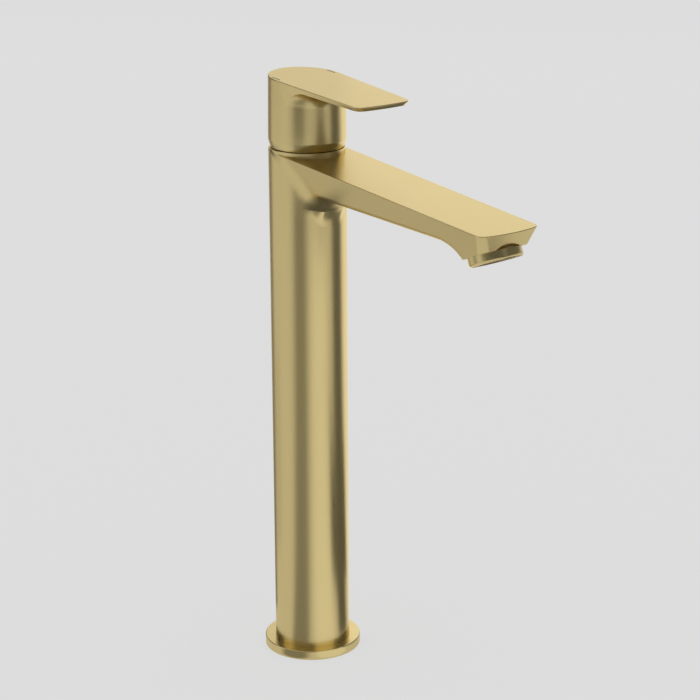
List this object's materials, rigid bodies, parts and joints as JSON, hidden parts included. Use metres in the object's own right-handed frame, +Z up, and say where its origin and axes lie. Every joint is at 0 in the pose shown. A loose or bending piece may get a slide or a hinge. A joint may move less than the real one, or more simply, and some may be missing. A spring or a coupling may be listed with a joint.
{
  "type": "tall basin mixer faucet",
  "caption": "Tall single-lever basin mixer in brushed gold: round column, flat sloping spout with a tilted aerator, flat lever, full cartridge inside.",
  "frame": {"origin": "centre of the foot's underside, on the deck", "axes": "+Z up along the column, spout and lever towards -Y, +X to the right of a user who faces the spout"},
  "size_m": [0.054, 0.1915, 0.3285],
  "materials": {
    "gold": "brushed",
    "mark": "matte",
    "rubber": "matte",
    "cartridge": "matte",
    "ceramic": "polished",
    "raw_brass": "machined",
    "tube": "drawn",
    "steel": "brushed",
    "aerator": "satin"
  },
  "bodies": {
    "body": {"body_casting": "gold", "base_flange": "gold", "trim_dome": "gold", "aerator_shell": "gold", "base_gasket": "rubber", "tube_seals": "rubber", "port_seals": "rubber", "disc_seals": "rubber", "housing_o_ring": "rubber", "aerator_washer": "rubber", "cartridge_base": "cartridge", "cartridge_housing": "cartridge", "limit_ring": "cartridge", "ceramic_fixed_disc": "ceramic", "inlet_block": "raw_brass", "cartridge_nut": "raw_brass", "hot_supply_tube": "tube", "cold_supply_tube": "tube", "aerator_screen": "steel", "aerator_insert": "aerator", "flow_regulator": "aerator"},
    "swivel": {"spindle_guide": "cartridge", "pivot_pin": "steel"},
    "lever": {"spindle": "raw_brass", "handle": "gold", "handle_set_screw": "steel", "screw_cap": "gold", "index_inlays": "mark"},
    "slider": {"disc_carrier": "cartridge", "ceramic_moving_disc": "ceramic"}
  },
  "joints": [
    {"name": "temperature", "type": "hinge", "parent": "body", "child": "swivel", "pos_m": [0, 0, 0.2978], "axis": [0, 0, 1], "range_deg": [-45, 45]},
    {"name": "lift", "type": "hinge", "parent": "swivel", "child": "lever", "pos_m": [0, 0, 0.2978], "axis": [-1, 0, 0], "range_deg": [0, 25]},
    {"name": "disc_slide", "type": "slide", "parent": "swivel", "child": "slider", "axis": [0, -1, 0], "range_m": [0, 0.00606]}
  ],
  "couplings": [
    {"joint": "disc_slide", "follows": "lift", "m_per_rad": 0.013889}
  ]
}
